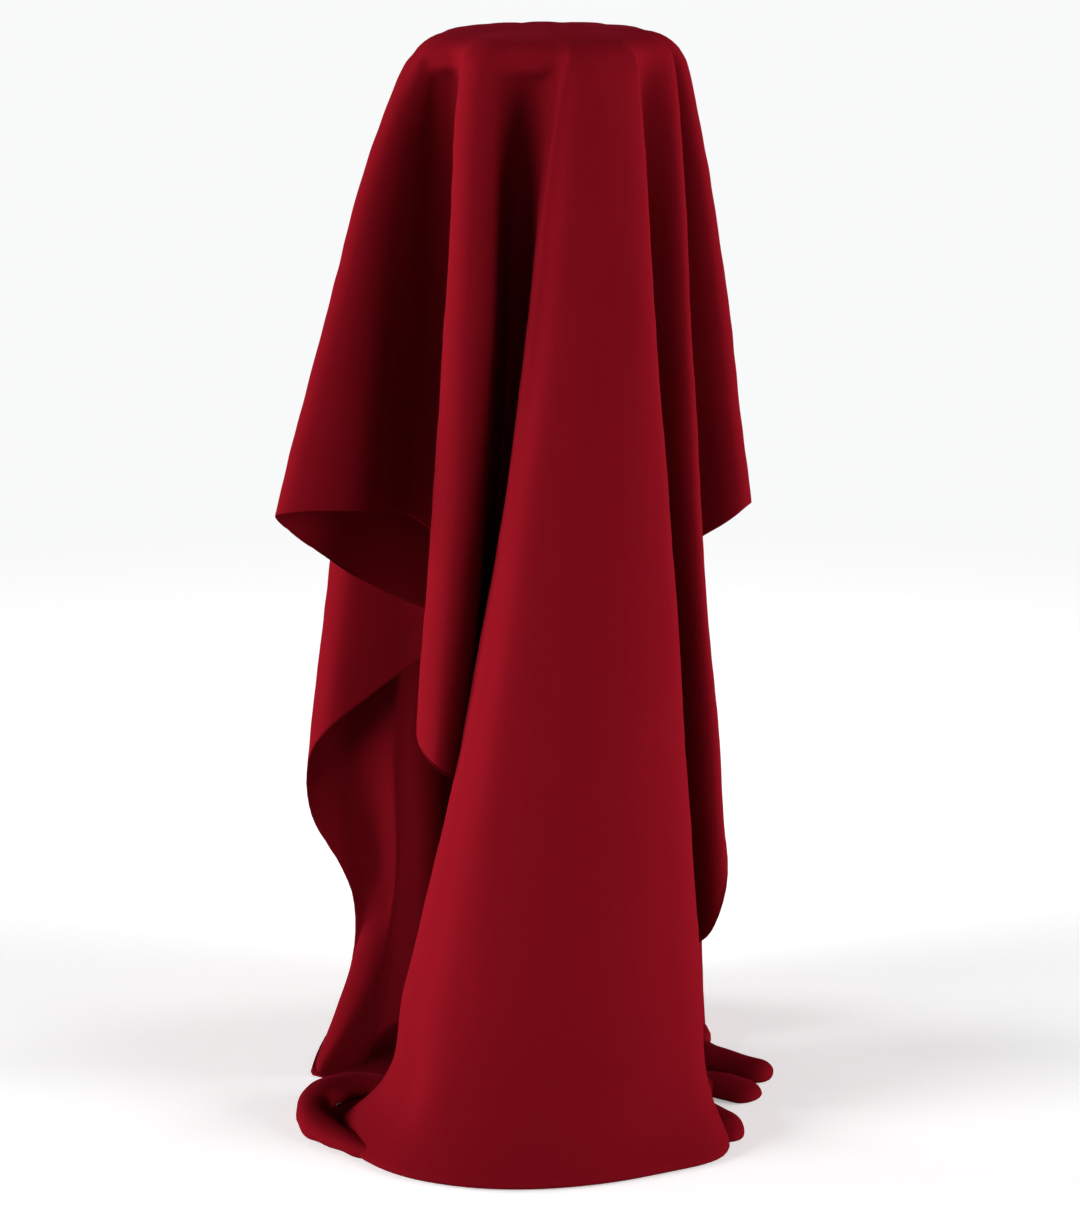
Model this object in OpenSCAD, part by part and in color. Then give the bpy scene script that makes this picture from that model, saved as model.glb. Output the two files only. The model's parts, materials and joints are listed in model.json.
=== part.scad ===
// A length of fabric draped over a height-adjustable display stand.
// Origin: on the pole's axis, on the floor. +Z up, the front of the drape faces -Y.

/* [Stand] */
// Radius of the round base
base_r = 150; // [120:1:155]
// Thickness of the steel base plate
plate_t = 10; // [6:1:14]
// Radius of the round top board
board_r = 134; // [120:1:137]
// Outside radius of the lower tube
lower_r = 17.5; // [16:0.5:18]
// Outside radius of the sliding upper tube
upper_r = 14; // [12:0.5:14]
// Wall of both tubes
tube_wall = 2; // [1.5:0.1:2]
// Height of the lower tube's top end
lower_top = 790; // [760:5:800]
// How far the upper tube reaches down inside the lower tube
tube_overlap = 230; // [150:5:280]

/* [Fabric] */
// Height of the fabric over the top board
drape_h = 1408; // [1398:1:1418]
// Thickness of the solid that stands for the fabric
cloth_t = 3; // [2:0.5:3]
// Points between two folds of the fabric
steps = 5; // [4:1:6]
// Rows from the shoulder to the hem
rows = 15; // [12:1:18]

/* [Hidden] */
$fn = 64;

run_gap = 0.05;   // radial clearance of a running fit
seat_gap = 0.02;  // radial clearance of a pushed-in fit

// Base, from the floor up
pad_t = 3;
plate_z = pad_t;
flange_z = plate_z + plate_t;
flange_r = 45;
flange_t = 6;
flange_pcd_r = 34;
neck_r = 24;
neck_top = flange_z + 42;
m6_r = 3;
m6_head_r = 5;
m6_head_h = 3.3;

// Collar that locks the upper tube
collar_r = 25;
collar_z = lower_top - 34;
collar_top = lower_top + 22;
bush_top = collar_top - 3;
lock_z = lower_top + 9;
boss_r = 9;
boss_end = 38;
shoe_r = 4.9;
shoe_t = 3;
shoe_gap = 0.3;
shoe_pocket_end = 24;
stud_r = 4;
knob_start = 44;
knob_len = 17;
knob_r = 13;
knob_lobe_r = 4.5;
knob_lobe_at = 12;
knob_lobes = 6;

// Top, from the fabric down
cover_t = 1;
cover_gap = 0.5;
pad_h = 24;
pad_r = 140;
pad_edge_r = 20;
pad_crown = 5;
board_t = 12;
cover_top = drape_h - cloth_t - cover_gap;
pad_top = cover_top - cover_t;
board_z = pad_top - pad_h - board_t;
top_flange_t = 6;
top_flange_r = 50;
top_flange_z = board_z - top_flange_t;
top_neck_r = 20;
top_neck_z = top_flange_z - 31;
wood_screw_r = 2.25;
wood_screw_head_r = 4.5;
wood_screw_head_h = 3;
wood_screw_grip = 8;
top_pcd_r = 36;

upper_bottom = lower_top - tube_overlap;

// ---- Fabric -------------------------------------------------------------------------
// The fabric leaves the shoulder at fall_z, and passes mid_z on its way to the floor.
fall_z = drape_h - 25;
fall_r = 163;
mid_z = 800;
flare = 0.75;     // under 1, the folds spread fastest just under the shoulder
// Rings of the top: radius, depth under the crown
crown = [[60, 0.2], [110, 1.2], [135, 4], [151, 11]];
// Each fold, counter-clockwise from the right: angle at the shoulder, radius and angle at
// mid_z, radius and angle at the floor, height of the hem. Ridges and valleys alternate.
folds = [
    [0, 254, 0, 300, 0, 800],
    [12, 105, 14, 150, 14, 690],
    [26, 240, 40, 262, 42, 470],
    [42, 125, 46, 190, 38, 250],
    [58, 262, 54, 312, 12, 0],
    [74, 140, 70, 215, 66, 0],
    [90, 290, 88, 370, 86, 0],
    [106, 140, 108, 215, 110, 0],
    [122, 270, 124, 355, 132, 0],
    [136, 180, 142, 300, 158, 180],
    [148, 296, 162, 372, 160, 440],
    [163, 112, 158, 150, 165, 620],
    [186, 371, 198, 470, 200, 790],
    [207, 97, 180, 120, 180, 710],
    [229, 200, 219, 268, 219, 490],
    [257, 94, 216, 125, 207, 300],
    [278, 216, 250, 345, 214, 0],
    [294, 276, 280, 388, 268, 0],
    [310, 252, 307, 340, 312, 0],
    [326, 178, 329, 205, 334, 120],
    [341, 226, 333, 280, 333, 300],
    [351, 110, 350, 150, 350, 700]
];
fold_count = len(folds);
ring_n = fold_count * steps;

// A point on a closed smooth curve through the list p, between p[i] and p[i + 1].
function turn(i) = (i + fold_count) % fold_count;
function curve(p, i, f) =
    let (a = p[turn(i - 1)], b = p[turn(i)], c = p[turn(i + 1)], d = p[turn(i + 2)])
    0.5 * (2 * b + (c - a) * f + (2 * a - 5 * b + 4 * c - d) * f * f
        + (3 * b - a - 3 * c + d) * f * f * f);
function polar(r, angle) = [r * cos(angle), r * sin(angle)];
function ring(p) = [for (i = [0 : fold_count - 1], s = [0 : steps - 1]) curve(p, i, s / steps)];
function mix(a, b, f) = a + (b - a) * f;

// Angles at the shoulder, spread between the folds on the true circle
function shoulder_angle(i, f) =
    mix(folds[i][0], folds[turn(i + 1)][0] + (i == fold_count - 1 ? 360 : 0), f);
angles = [for (i = [0 : fold_count - 1], s = [0 : steps - 1]) shoulder_angle(i, s / steps)];
hem = [for (i = [0 : fold_count - 1], s = [0 : steps - 1])
    mix(folds[i][5], folds[turn(i + 1)][5], s / steps)];
mid_ring = ring([for (f = folds) polar(f[1], f[2])]);
floor_ring = ring([for (f = folds) polar(f[3], f[4])]);

// Plan position of column k of the fabric at height z
function hang(k, z) = z > mid_z
    ? mix(polar(fall_r, angles[k]), mid_ring[k], pow((fall_z - z) / (fall_z - mid_z), flare))
    : mix(mid_ring[k], floor_ring[k], (mid_z - z) / mid_z);
// The same point moved inwards by the fabric's thickness
function inside(k, z) =
    let (along = hang((k + 1) % ring_n, z) - hang((k + ring_n - 1) % ring_n, z))
    hang(k, z) - cloth_t / norm(along) * [along[1], -along[0]];
function row_z(k, j) = mix(fall_z, hem[k], j / rows);

outer_pts = concat(
    [for (c = crown, k = [0 : ring_n - 1])
        concat(polar(c[0], angles[k]), [drape_h - c[1]])],
    [for (j = [0 : rows], k = [0 : ring_n - 1])
        concat(hang(k, row_z(k, j)), [row_z(k, j)])]);
inner_pts = concat(
    [for (c = crown, k = [0 : ring_n - 1])
        concat(polar(c[0] - cloth_t * c[1] / 12, angles[k]), [drape_h - c[1] - cloth_t])],
    [for (j = [0 : rows], k = [0 : ring_n - 1])
        concat(inside(k, row_z(k, j)), [row_z(k, j)])]);
shell_rows = len(crown) + rows;
shell_n = len(outer_pts);

// ---- Base ---------------------------------------------------------------------------
module around(count, radius) {
    for (i = [0 : count - 1]) {
        rotate([0, 0, 360 * i / count + 45]) translate([radius, 0, 0]) children();
    }
}

// A tube or ring standing on z
module sleeve(outer, inner, z, height) {
    translate([0, 0, z]) difference() {
        cylinder(r = outer, h = height);
        translate([0, 0, -1]) cylinder(r = inner, h = height + 2);
    }
}

module base_pad() {
    color("dimgray") cylinder(r = base_r, h = pad_t);
}

module base_plate() {
    color([0.16, 0.16, 0.17]) difference() {
        union() {
            translate([0, 0, plate_z]) cylinder(r = base_r, h = plate_t - 2);
            translate([0, 0, plate_z + plate_t - 2])
                rotate_extrude() polygon([[0, 0], [base_r, 0], [base_r - 2, 2], [0, 2]]);
        }
        around(4, flange_pcd_r) translate([0, 0, plate_z + 2])
            cylinder(r = m6_r + seat_gap, h = plate_t);
    }
}

module base_flange() {
    color([0.16, 0.16, 0.17]) difference() {
        union() {
            translate([0, 0, flange_z]) cylinder(r = flange_r, h = flange_t);
            translate([0, 0, flange_z]) cylinder(r = neck_r, h = neck_top - flange_z);
        }
        translate([0, 0, flange_z - 1]) cylinder(r = lower_r + seat_gap, h = neck_top);
        around(4, flange_pcd_r) translate([0, 0, flange_z - 1])
            cylinder(r = m6_r + 0.3, h = flange_t + 2);
        translate([0, 0, neck_top - 12]) rotate([0, 90, 0])
            cylinder(r = m6_r + seat_gap, h = neck_r + 5);
    }
}

module base_flange_screws() {
    color("silver") around(4, flange_pcd_r) difference() {
        union() {
            translate([0, 0, plate_z + 3])
                cylinder(r = m6_r, h = flange_z + flange_t - plate_z - 3);
            translate([0, 0, flange_z + flange_t]) cylinder(r = m6_head_r, h = m6_head_h);
        }
        translate([0, 0, flange_z + flange_t + 1]) cylinder(r = 2, h = m6_head_h, $fn = 6);
    }
}

// A headless socket screw along +X that holds a tube of radius tube_r in its socket
module socket_screw(tube_r, wall_end, z) {
    color("silver") translate([tube_r + 0.05, 0, z]) rotate([0, 90, 0]) difference() {
        cylinder(r = m6_r, h = wall_end - tube_r - 1);
        translate([0, 0, wall_end - tube_r - 3]) cylinder(r = 1.5, h = 4, $fn = 6);
    }
}

module base_socket_screw() {
    socket_screw(lower_r, neck_r, neck_top - 12);
}

module lower_tube() {
    color([0.16, 0.16, 0.17]) sleeve(lower_r, lower_r - tube_wall, flange_z, lower_top - flange_z);
}

// ---- Height lock --------------------------------------------------------------------
module along_y(start, height, z, radius) {
    translate([0, start, z]) rotate([-90, 0, 0]) cylinder(r = radius, h = height);
}

module lock_collar() {
    color("black") difference() {
        union() {
            translate([0, 0, collar_z]) cylinder(r = collar_r, h = collar_top - collar_z);
            along_y(0, boss_end, lock_z, boss_r);
        }
        translate([0, 0, collar_z - 1]) cylinder(r = lower_r + seat_gap, h = bush_top - collar_z + 1);
        translate([0, 0, bush_top - 1]) cylinder(r = upper_r + 0.5, h = 10);
        along_y(0, shoe_pocket_end, lock_z, shoe_r + 0.2);
        along_y(0, boss_end + 1, lock_z, stud_r + run_gap);
        translate([0, 0, collar_z + 9]) rotate([0, 90, 0])
            cylinder(r = m6_r + seat_gap, h = collar_r + 5);
    }
}

module collar_screw() {
    socket_screw(lower_r, collar_r, collar_z + 9);
}

module guide_bush() {
    color("ivory") difference() {
        sleeve(lower_r, upper_r + run_gap, lower_top, bush_top - lower_top);
        along_y(0, lower_r + 5, lock_z, shoe_r + 0.2);
    }
}

module lock_shoe() {
    color("goldenrod") along_y(upper_r + shoe_gap, shoe_t, lock_z, shoe_r);
}

module lock_stud() {
    shoe_back = upper_r + shoe_gap + shoe_t;
    color("silver") along_y(shoe_back, knob_start + knob_len - 4 - shoe_back, lock_z, stud_r);
}

module lock_knob() {
    color("black") difference() {
        union() {
            along_y(knob_start, knob_len, lock_z, knob_r);
            along_y(knob_start - 3, 3, lock_z, 8);
            for (i = [0 : knob_lobes - 1]) {
                translate([0, 0, lock_z]) rotate([0, 360 * i / knob_lobes, 0])
                    translate([0, 0, knob_lobe_at]) along_y(knob_start + 2, knob_len - 4, 0, knob_lobe_r);
            }
        }
        along_y(knob_start - 4, knob_len, lock_z, stud_r + seat_gap);
    }
}

// ---- Sliding mast and top -----------------------------------------------------------
module upper_tube() {
    color("silver") sleeve(upper_r, upper_r - tube_wall, upper_bottom, top_flange_z - upper_bottom);
}

module tube_end_guide() {
    color("ivory") {
        translate([0, 0, upper_bottom - 12])
            cylinder(r = lower_r - tube_wall - run_gap, h = 12);
        translate([0, 0, upper_bottom]) cylinder(r = upper_r - tube_wall - seat_gap, h = 18);
    }
}

module top_flange() {
    color([0.16, 0.16, 0.17]) difference() {
        union() {
            translate([0, 0, top_flange_z]) cylinder(r = top_flange_r, h = top_flange_t);
            translate([0, 0, top_neck_z]) cylinder(r = top_neck_r, h = top_flange_z - top_neck_z);
        }
        translate([0, 0, top_neck_z - 1])
            cylinder(r = upper_r + seat_gap, h = top_flange_z - top_neck_z + 1);
        around(4, top_pcd_r) translate([0, 0, top_flange_z - 1])
            cylinder(r = wood_screw_r + 0.3, h = top_flange_t + 2);
        translate([0, 0, top_neck_z + 12]) rotate([0, 90, 0])
            cylinder(r = m6_r + seat_gap, h = top_neck_r + 5);
    }
}

module top_flange_screws() {
    color("silver") around(4, top_pcd_r) difference() {
        union() {
            translate([0, 0, top_flange_z])
                cylinder(r = wood_screw_r, h = top_flange_t + wood_screw_grip);
            translate([0, 0, top_flange_z - wood_screw_head_h])
                cylinder(r = wood_screw_head_r, h = wood_screw_head_h);
        }
        translate([-0.6, -3, top_flange_z - wood_screw_head_h - 1]) cube([1.2, 6, 2.4]);
        translate([-3, -0.6, top_flange_z - wood_screw_head_h - 1]) cube([6, 1.2, 2.4]);
    }
}

module top_socket_screw() {
    socket_screw(upper_r, top_neck_r, top_neck_z + 12);
}

module top_board() {
    color("burlywood") difference() {
        translate([0, 0, board_z]) cylinder(r = board_r, h = board_t);
        around(4, top_pcd_r) translate([0, 0, board_z - 1])
            cylinder(r = wood_screw_r + seat_gap, h = wood_screw_grip + 2);
    }
}

// Half outline of the crowned pad, grown by g on its top and side
function crown_z(r, g) = pad_crown * (1 - pow(r / (pad_r + g), 2));
function pad_outline(g, bottom) = concat(
    [[0, bottom], [pad_r + g, bottom]],
    [for (a = [0 : 10 : 90])
        let (r = pad_r + g - pad_edge_r + pad_edge_r * cos(a))
        [r, pad_top + g - pad_crown - pad_edge_r + pad_edge_r * sin(a) + crown_z(r, g)]],
    [for (s = [4 : -1 : 0])
        let (r = (pad_r + g - pad_edge_r) * s / 5) [r, pad_top + g - pad_crown + crown_z(r, g)]]);

module top_pad() {
    color("whitesmoke") rotate_extrude() polygon(pad_outline(0, board_z + board_t));
}

// The cover hangs over the pad's side down to the board's lower face
module pad_cover() {
    color("ivory") difference() {
        rotate_extrude() polygon(pad_outline(cover_t, board_z + 2));
        rotate_extrude() polygon(pad_outline(seat_gap, board_z));
    }
}

// ---- Fabric -------------------------------------------------------------------------
module fabric_drape() {
    outer_top = 2 * shell_n;
    inner_top = outer_top + 1;
    color([0.5, 0.03, 0.07]) polyhedron(
        points = concat(outer_pts, inner_pts,
            [[0, 0, drape_h]], [[0, 0, drape_h - cloth_t]]),
        faces = [
            for (k = [0 : ring_n - 1]) let (n = (k + 1) % ring_n) [outer_top, n, k],
            for (k = [0 : ring_n - 1]) let (n = (k + 1) % ring_n)
                [inner_top, shell_n + k, shell_n + n],
            for (j = [0 : shell_rows - 1], k = [0 : ring_n - 1])
                let (n = (k + 1) % ring_n, a = j * ring_n, b = a + ring_n)
                each [[a + k, a + n, b + n], [a + k, b + n, b + k]],
            for (j = [0 : shell_rows - 1], k = [0 : ring_n - 1])
                let (n = (k + 1) % ring_n, a = shell_n + j * ring_n, b = a + ring_n)
                each [[a + k, b + n, a + n], [a + k, b + k, b + n]],
            for (k = [0 : ring_n - 1])
                let (n = (k + 1) % ring_n, a = shell_rows * ring_n, b = a + shell_n)
                each [[a + k, a + n, b + n], [a + k, b + n, b + k]]
        ]);
}

base_pad();
base_plate();
base_flange();
base_flange_screws();
base_socket_screw();
lower_tube();
lock_collar();
collar_screw();
guide_bush();
lock_shoe();
lock_stud();
lock_knob();
upper_tube();
tube_end_guide();
top_flange();
top_flange_screws();
top_socket_screw();
top_board();
top_pad();
pad_cover();
fabric_drape();
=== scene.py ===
import json
import math

import bpy
import numpy as np
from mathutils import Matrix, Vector


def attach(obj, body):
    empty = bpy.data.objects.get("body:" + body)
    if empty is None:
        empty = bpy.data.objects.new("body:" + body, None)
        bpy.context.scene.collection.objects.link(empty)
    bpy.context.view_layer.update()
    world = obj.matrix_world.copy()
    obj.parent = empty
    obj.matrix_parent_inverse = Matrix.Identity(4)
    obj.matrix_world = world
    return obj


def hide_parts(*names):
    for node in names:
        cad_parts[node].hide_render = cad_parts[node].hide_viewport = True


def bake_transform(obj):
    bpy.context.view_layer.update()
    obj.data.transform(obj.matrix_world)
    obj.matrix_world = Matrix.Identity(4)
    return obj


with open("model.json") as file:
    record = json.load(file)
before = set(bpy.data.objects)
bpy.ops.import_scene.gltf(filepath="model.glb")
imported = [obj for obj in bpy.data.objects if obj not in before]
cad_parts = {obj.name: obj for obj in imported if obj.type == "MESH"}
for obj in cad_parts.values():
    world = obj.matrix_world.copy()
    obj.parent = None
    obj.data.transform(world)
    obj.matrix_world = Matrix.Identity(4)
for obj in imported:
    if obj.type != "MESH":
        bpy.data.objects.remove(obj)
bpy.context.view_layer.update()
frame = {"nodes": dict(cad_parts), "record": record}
MM = 0.001

# ---- The drape, in millimetres seen from above -----------------------------------------
# The cloth leaves the round shoulder at FALL_Z. Each row below is one line that runs down the
# cloth, counter-clockwise from the right: its angle on the shoulder, the height of the hem on
# it, and its place in plan at the heights of LEVELS. A row that stops early runs on straight.
FALL_Z = 1383.0
FALL_X = -5.0
BOARD_Z = 1369.0     # a valley can't go in before it's below the cover
NECKS = (1369.0, 1356.0, 1330.0, 1290.0, 1220.0)
LEVELS = (1100.0, 800.0, 450.0, 200.0, 50.0, 0.0)
LINES = [
    # right flap
    (3, 797, (218, 6), (255, 4)),
    (10, 745, (156, 38), (170, 42)),
    (17, 690, (94, 46), (98, 52)),
    # right back flap
    (27, 565, (146, 92), (160, 104), (172, 112)),
    (35, 475, (174, 124), (182, 148), (190, 164)),
    (43, 400, (130, 130), (140, 150), (158, 170)),
    (50, 240, (85, 98), (100, 118), (128, 148), (150, 158)),
    # back right fold
    (57, 0, (140, 160), (172, 184), (194, 184), (200, 160), (204, 136), (206, 120)),
    (66, 0, (128, 204), (156, 236), (184, 254), (200, 256), (208, 252), (212, 250)),
    (75, 0, (84, 178), (98, 206), (118, 234), (134, 254), (140, 260), (142, 262)),
    (81, 0, (58, 118), (66, 138), (84, 176), (100, 210), (106, 222), (108, 226)),
    # broad back fold
    (88, 0, (58, 196), (66, 242), (72, 290), (76, 322), (78, 336), (78, 340)),
    (95, 0, (14, 232), (12, 282), (8, 328), (4, 356), (2, 367), (2, 370)),
    (102, 0, (-34, 206), (-46, 252), (-58, 296), (-66, 326), (-69, 338), (-70, 342)),
    (109, 0, (-46, 124), (-56, 146), (-78, 182), (-96, 214), (-104, 225), (-106, 228)),
    # back left fold
    (115, 0, (-92, 190), (-112, 226), (-136, 250), (-150, 262), (-157, 267), (-160, 268)),
    (121, 0, (-134, 186), (-158, 212), (-186, 222), (-204, 222), (-216, 220), (-222, 218)),
    (126, 0, (-146, 160), (-172, 172), (-200, 172), (-214, 168), (-234, 150), (-248, 136)),
    (130, 0, (-144, 138), (-168, 138), (-208, 130), (-214, 122), (-240, 86), (-262, 60)),
    (133.5, 0, (-154, 134), (-182, 138), (-222, 134), (-224, 124), (-262, 56), (-292, 24)),
    (136.5, 0, (-166, 132), (-198, 140), (-238, 144), (-236, 128), (-284, 44), (-320, -4)),
    (139, 25, (-178, 130), (-214, 141), (-254, 152), (-246, 132), (-302, 68), (-326, 38)),
    (141.5, 75, (-190, 127), (-230, 141), (-270, 156), (-255, 134), (-294, 98), (-305, 88)),
    (143.5, 133, (-202, 123), (-244, 139), (-286, 153), (-262, 132), (-288, 102)),
    (145.5, 205, (-214, 118), (-257, 135), (-300, 147), (-270, 130), (-284, 124)),
    (147.5, 271, (-224, 112), (-268, 129), (-312, 140), (-283, 126)),
    (149.5, 344, (-231, 107), (-276, 122), (-321, 128), (-343, 124)),
    # second flap, on the left
    (152, 417, (-235, 100), (-281, 112), (-327, 116)),
    (155, 465, (-220, 76), (-260, 84), (-303, 86)),
    (158, 505, (-194, 68), (-222, 78), (-256, 84)),
    (162, 560, (-146, 58), (-164, 76), (-186, 96)),
    (166, 610, (-88, 42), (-100, 56), (-112, 84)),
    # left flap
    (171, 645, (-140, 34), (-165, 38)),
    (176, 690, (-190, 2), (-232, -4)),
    (181, 735, (-228, -24), (-283, -46)),
    (185, 775, (-258, -50), (-328, -88)),
    (188.5, 801, (-274, -62), (-353, -108)),
    (191.5, 808, (-266, -78), (-343, -130)),
    (195, 813, (-244, -84), (-312, -134)),
    (199.5, 807, (-212, -72), (-268, -108)),
    (204, 797, (-182, -48), (-222, -62)),
    (209, 785, (-152, -22), (-180, -22)),
    (216, 730, (-112, -16), (-126, -12)),
    # front left column
    (224, 640, (-112, -78), (-128, -80), (-144, -84)),
    (228, 530, (-131, -128), (-153, -140), (-178, -150)),
    (233, 512, (-126, -160), (-146, -178), (-170, -194)),
    (239, 495, (-102, -178), (-120, -200), (-148, -218)),
    (244, 470, (-76, -160), (-90, -182), (-116, -196)),
    (249, 440, (-66, -116), (-82, -126), (-106, -138)),
    (262, 330, (-50, -80), (-70, -72), (-104, -60), (-128, -48)),
    # broad front panel
    (272, 120, (-24, -104), (-56, -112), (-112, -112), (-162, -106), (-194, -96)),
    (277.5, 0, (-24, -156), (-64, -170), (-130, -178), (-187, -172), (-224, -152), (-264, -124)),
    (279.5, 0, (-22, -188), (-64, -206), (-130, -224), (-188, -236), (-232, -222), (-291, -186)),
    (282, 0, (-11, -198), (-54, -228), (-116, -260), (-169, -288), (-210, -284), (-280, -262)),
    (286, 0, (8, -212), (-34, -250), (-90, -298), (-138, -330), (-174, -344), (-211, -356)),
    (291, 0, (36, -217), (2, -260), (-42, -316), (-82, -356), (-106, -374), (-123, -403)),
    (296, 0, (64, -217), (42, -262), (14, -322), (-12, -364), (-26, -385), (-32, -413)),
    (302, 0, (90, -212), (84, -254), (74, -310), (66, -350), (58, -368), (59, -396)),
    (306.5, 0, (112, -202), (122, -236), (130, -282), (134, -316), (134, -332), (140, -360)),
    (310.5, 0, (125, -182), (149, -208), (172, -238), (188, -264), (204, -280), (226, -302)),
    (312.5, 30, (118, -150), (144, -158), (170, -172), (190, -182), (206, -190), (226, -200)),
    (316, 120, (104, -104), (128, -104), (154, -104), (172, -102), (180, -102)),
    (323, 205, (100, -84), (124, -80), (150, -78), (166, -76)),
    # front right column
    (332, 232, (134, -98), (156, -106), (182, -116), (200, -120)),
    (337, 262, (158, -108), (178, -118), (206, -130), (220, -134)),
    (341, 345, (174, -100), (191, -108), (221, -118), (244, -122)),
    (345, 440, (164, -72), (180, -76), (206, -80)),
    (350, 690, (120, -4), (132, -2)),
    # right flap, front
    (353.5, 750, (160, -12), (184, -12)),
    (356, 775, (194, -24), (226, -28)),
    (359.5, 800, (215, -20), (252, -24)),
]
# The top from the middle out, radius and height: over a ridge, and over a valley
RIDGE_TOP = ((30, 1407.7), (60, 1407.6), (85, 1407.2), (105, 1406.4), (120, 1405.2), (132, 1403.2),
             (142, 1400.2), (150, 1396.3), (157, 1391.6), (162, 1387.2), (165.5, FALL_Z))
VALLEY_TOP = ((30, 1407.7), (60, 1407.2), (85, 1406.2), (105, 1404.6), (117, 1402.9), (126, 1400.9),
              (133, 1398.0), (138, 1394.2), (141, 1390.2), (142.8, 1386.2), (143.6, 1381.5))
RIM_VALLEY = 110.0   # a line nearer than this at the first level starts as a valley
RIM_RIDGE = 215.0    # and one farther than this starts as a ridge
RIM_OUTSIDE = 150.0  # a line nearer than this stays on the pad's side as far as BOARD_Z
RIDGE_POWER = 0.66   # how the folds grow below the shoulder: a ridge, then a valley
VALLEY_POWER = 0.48
AROUND = 430         # columns of the mesh
DOWN = 100           # rows from the shoulder to the hem
CLOTH_T = 0.0012     # thickness of the cloth, in metres
RUN_ON = 0.85        # how much of its slope a line keeps below its last given place
PLAN_BLUR = 1.3      # in columns, the softening of the folds, of the rim and of the hem
RIM_BLUR = 2.0
HEM_BLUR = 2.0
RIDGE_BLUR = 2.5
TUCK_R = 9.0         # radius of the fold at the floor
TUCK_FADE = 30.0     # a hem that ends this much higher has no fold
TUCK_ANGLES = (16, 34, 52, 70, 90)
TUCK_LENGTH = 75.0   # how far the cloth runs back inwards under the fold
TUCK_LEAST = 6.0     # and how far at least, where the base is near
TUCK_CLEAR = 172.0   # the cloth under the fold stays outside this radius
TUCK_SHARES = (0.25, 0.5, 0.75, 1.0)
FLOOR_LIFT = 1.6     # height of the cloth's middle where it lies on the floor
PAD_CLEAR = 143.8    # least radius of the cloth beside the pad, between these two heights
PAD_SIDE_TOP = 1384.0
PAD_SIDE_LOW = 1369.0
PAD_SIDE_FADE = 4.0
# Soft unevenness: the size, the seed and the length of its waves
SWELLS = ((1.1, 3, 170), (0.35, 5, 60))
CLOTH_ROUND = 3000.0     # the weave's coordinates: their length once round the cloth,
CLOTH_START = 30.0       # and their value at its first row


def smooth_loop(points, starts):
    """A closed Catmull-Rom curve through points, sampled at the parameters starts."""
    n = len(points)
    i = np.floor(starts).astype(int) % n
    f = (starts - np.floor(starts))[:, None]
    a, b, c, d = (points[(i + k) % n] for k in (-1, 0, 1, 2))
    return 0.5 * (2 * b + (c - a) * f + (2 * a - 5 * b + 4 * c - d) * f**2
                  + (3 * b - a - 3 * c + d) * f**3)


def smooth_path(points, count):
    """An open Catmull-Rom curve through points, with count samples."""
    points = np.asarray(points, float)
    ends = np.concatenate([[2 * points[0] - points[1]], points, [2 * points[-1] - points[-2]]])
    t = np.linspace(0, len(points) - 1, count)
    i = np.minimum(t.astype(int), len(points) - 2)
    f = (t - i)[:, None]
    a, b, c, d = (ends[i + k] for k in range(4))
    return 0.5 * (2 * b + (c - a) * f + (2 * a - 5 * b + 4 * c - d) * f**2
                  + (3 * b - a - 3 * c + d) * f**3)


def line_stations():
    """Station heights, every line's place in plan at each, and how much of a ridge it is."""
    plan = []
    for row in LINES:
        places = [np.array(p, float) for p in row[2:]]
        while len(places) < len(LEVELS):
            k = len(places)
            fall = (LEVELS[k - 1] - LEVELS[k]) / (LEVELS[k - 2] - LEVELS[k - 1])
            places.append(places[-1] + RUN_ON * fall * (places[-1] - places[-2]))
        plan.append(places)
    given = [np.array([places[k] for places in plan]) for k in range(len(LEVELS))]
    angles = np.radians([row[0] for row in LINES])
    out = np.stack([np.cos(angles), np.sin(angles)], 1)
    centre = np.array([FALL_X, 0.0])
    reach = np.linalg.norm(given[0] - centre, axis=1)
    ridge = np.clip((reach - RIM_VALLEY) / (RIM_RIDGE - RIM_VALLEY), 0, 1)
    valley_r, ridge_r = VALLEY_TOP[-1][0], RIDGE_TOP[-1][0]
    rim = centre + (valley_r + (ridge_r - valley_r) * ridge)[:, None] * out
    outside = reach > RIM_OUTSIDE
    start = np.where(outside, FALL_Z, BOARD_Z)
    power = np.where(outside, RIDGE_POWER, VALLEY_POWER)
    stations = [rim]
    for z in NECKS:
        share = (np.maximum(start - z, 0) / (start - LEVELS[0])) ** power
        stations.append(rim + share[:, None] * (given[0] - rim))
    heights = np.array((FALL_Z,) + NECKS + LEVELS)
    return heights, np.array(stations + given), ridge


def even_parameters(curve_stack, count):
    """Parameters along the lines, spread by the widest spacing that each pair of lines reaches."""
    gaps = np.linalg.norm(np.roll(curve_stack, -1, axis=1) - curve_stack, axis=2).max(axis=0)
    walk = np.concatenate([[0], np.cumsum(np.sqrt(gaps))])
    wanted = np.linspace(0, walk[-1], count, endpoint=False)
    return np.interp(wanted, walk, np.arange(len(walk)))


def along_height(heights, curves, z):
    """Positions of each column at heights z (rows, columns), smooth from station to station."""
    h = heights[::-1]
    c = curves[::-1]
    slope = np.gradient(c, h, axis=0)
    k = np.clip(np.searchsorted(h, z, side="right") - 1, 0, len(h) - 2)
    col = np.arange(z.shape[1])[None, :].repeat(z.shape[0], 0)
    step = h[k + 1] - h[k]
    f = ((z - h[k]) / step)[..., None]
    step = step[..., None]
    p0, p1, m0, m1 = c[k, col], c[k + 1, col], slope[k, col], slope[k + 1, col]
    return ((2 * f**3 - 3 * f**2 + 1) * p0 + (f**3 - 2 * f**2 + f) * step * m0
            + (3 * f**2 - 2 * f**3) * p1 + (f**3 - f**2) * step * m1)


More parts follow.
